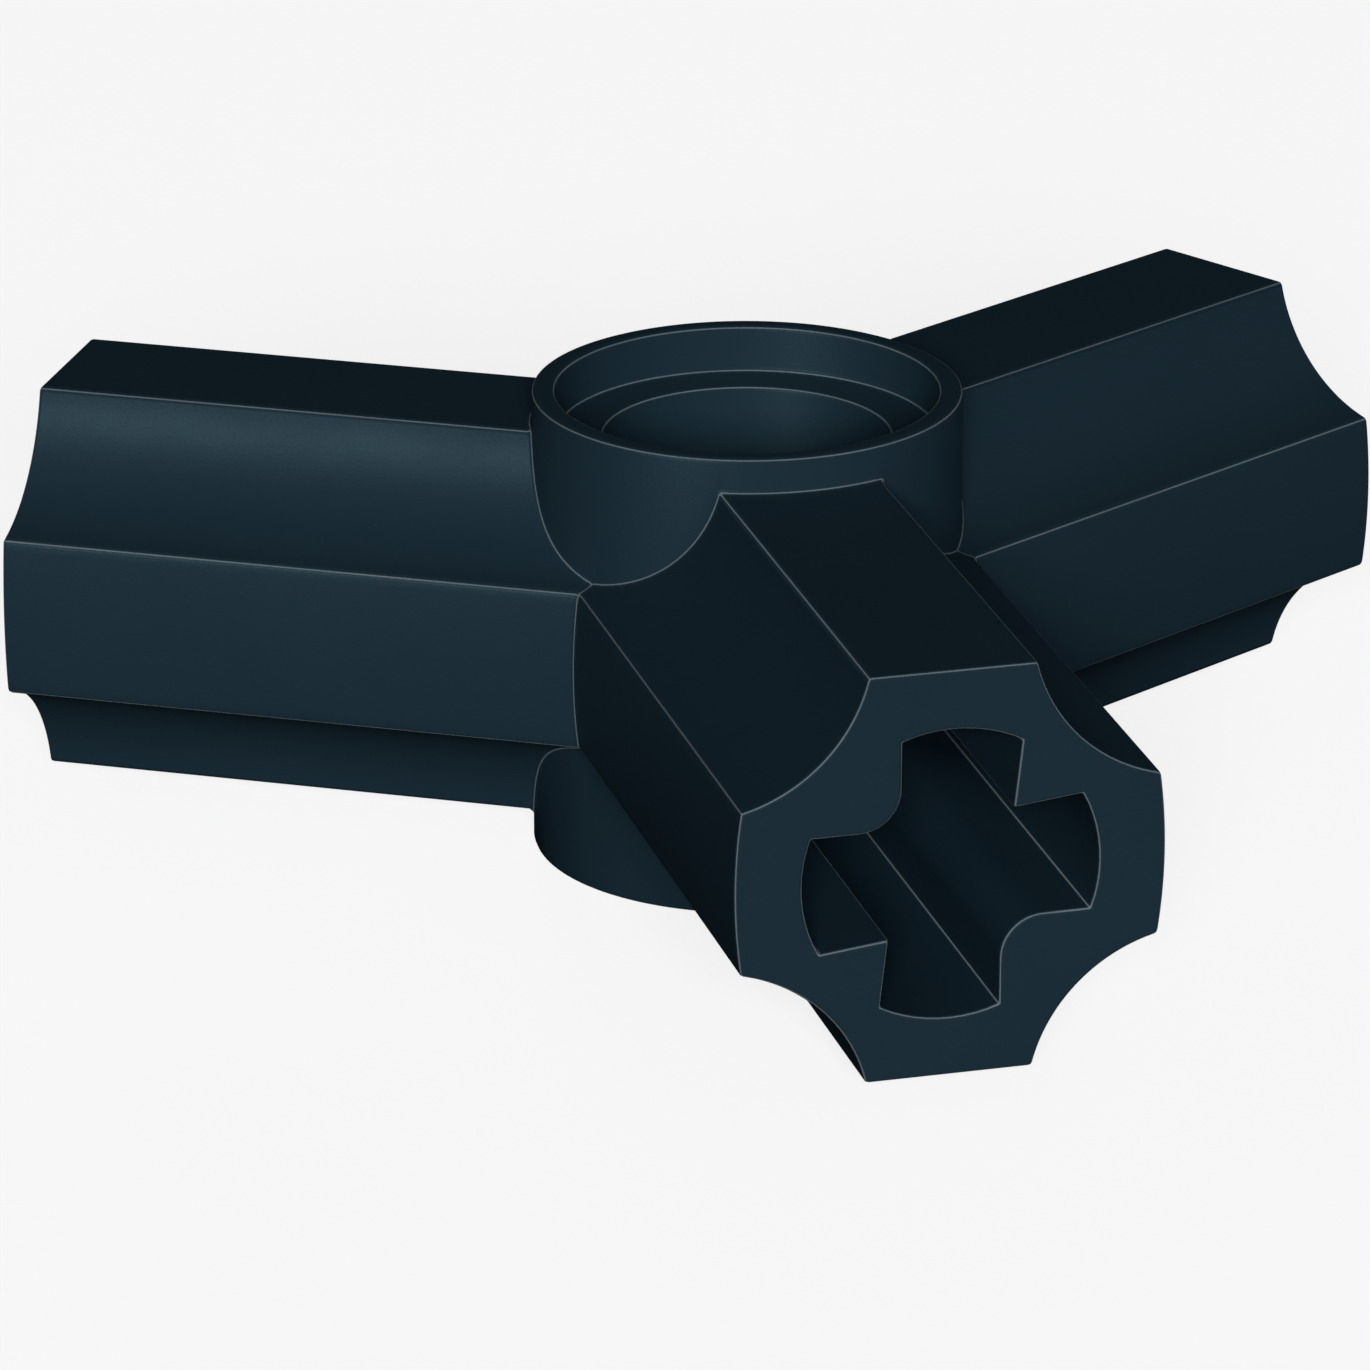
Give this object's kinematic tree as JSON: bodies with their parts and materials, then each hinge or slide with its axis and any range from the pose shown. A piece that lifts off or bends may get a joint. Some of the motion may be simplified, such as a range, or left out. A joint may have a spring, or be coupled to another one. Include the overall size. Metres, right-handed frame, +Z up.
{
  "type": "three way corner connector",
  "caption": "One-piece moulded plastic hub with a counterbored pin hole and fluted arms set at equal angles, each ending in a cross-axle socket.",
  "frame": {"origin": "middle of the pin bore, on its axis, halfway between the hub's two rims", "axes": "+Z up along the pin bore; the first arm points along -Y, the second 30 degrees from +X towards +Y, the third 30 degrees from -X towards +Y; the part is the same either way up"},
  "size_m": [0.0242, 0.021, 0.008],
  "materials": {
    "moulded_plastic": "dark blue-black ABS, satin gloss as it leaves the mould, a little paler along its edges"
  },
  "bodies": {
    "root": {"connector_body": "moulded_plastic"}
  },
  "joints": []
}
